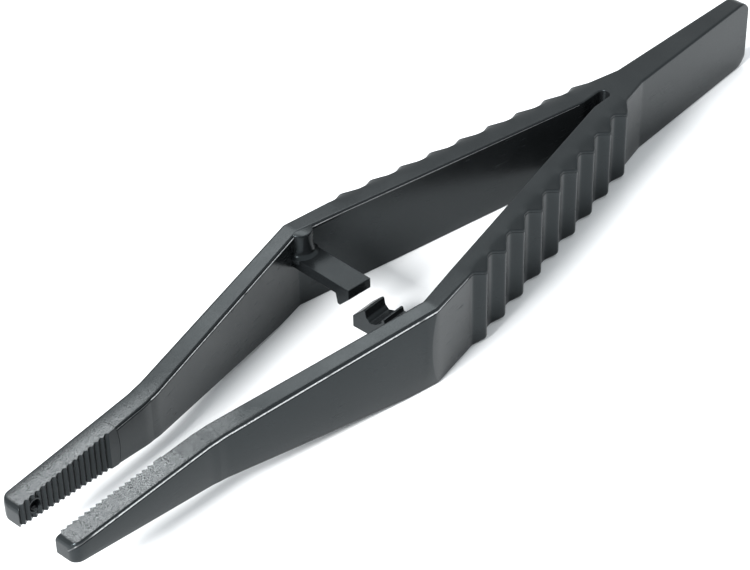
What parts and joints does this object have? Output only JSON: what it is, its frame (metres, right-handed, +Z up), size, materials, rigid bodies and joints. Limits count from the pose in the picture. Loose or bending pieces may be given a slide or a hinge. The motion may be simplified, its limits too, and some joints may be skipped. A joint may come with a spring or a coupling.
{
  "type": "self-locking tweezers",
  "caption": "Black plastic self-locking tweezers with a flat tail, ribbed finger grips, a snap latch at the elbows and serrated jaws.",
  "frame": {"origin": "on the floor under the middle of the bounding box, with the tweezers lying on their side", "axes": "+X from the tail towards the jaw tips, +Y towards the left arm, which carries the catch, +Z up"},
  "size_m": [0.13, 0.0244, 0.0114],
  "materials": {
    "satin_black": "satin moulded",
    "matte_black": "fine matte moulded",
    "spark_black": "coarse spark-eroded grain"
  },
  "bodies": {
    "tail": {"tail_blade": "matte_black", "yoke": "matte_black"},
    "right_arm": {"right_arm_spring": "satin_black", "right_finger_grip": "matte_black", "right_elbow": "satin_black", "latch_seat": "satin_black", "latch_post": "satin_black"},
    "right_front": {"right_shank": "satin_black", "right_jaw": "spark_black", "right_tooth_pad": "spark_black"},
    "latch_hook": {"latch_root": "satin_black", "latch_bar": "satin_black", "latch_nose": "satin_black"},
    "left_arm": {"left_arm_spring": "satin_black", "left_finger_grip": "matte_black", "left_elbow": "satin_black", "catch_bar": "satin_black"},
    "left_front": {"left_shank": "satin_black", "left_jaw": "spark_black", "left_tooth_pad": "spark_black", "guide_peg": "spark_black"}
  },
  "joints": [
    {"name": "right_arm_flex", "type": "hinge", "parent": "tail", "child": "right_arm", "pos_m": [-0.03247, -0.002, 0], "axis": [0, 0, 1], "range_deg": [0, 2.9], "stiffness_Nm_per_rad": 0.8},
    {"name": "left_arm_flex", "type": "hinge", "parent": "tail", "child": "left_arm", "pos_m": [-0.03247, 0.002, 0], "axis": [0, 0, -1], "range_deg": [0, 2.9]},
    {"name": "right_shank_flex", "type": "hinge", "parent": "right_arm", "child": "right_front", "pos_m": [0.016, -0.01058, 0], "axis": [0, 0, -1], "range_deg": [0, 2.44]},
    {"name": "left_shank_flex", "type": "hinge", "parent": "left_arm", "child": "left_front", "pos_m": [0.016, 0.01058, 0], "axis": [0, 0, 1], "range_deg": [0, 2.44]},
    {"name": "latch_lift", "type": "hinge", "parent": "right_arm", "child": "latch_hook", "pos_m": [0.0125, -0.00759, 0.00735], "axis": [0.9988, -0.0488, 0], "range_deg": [0, 13.06]}
  ],
  "couplings": [
    {"joint": "left_arm_flex", "follows": "right_arm_flex", "ratio": 1},
    {"joint": "right_shank_flex", "follows": "right_arm_flex", "ratio": 0.84},
    {"joint": "left_shank_flex", "follows": "right_arm_flex", "ratio": 0.84},
    {"joint": "latch_lift", "follows": "right_arm_flex", "ratio": 4.5}
  ]
}
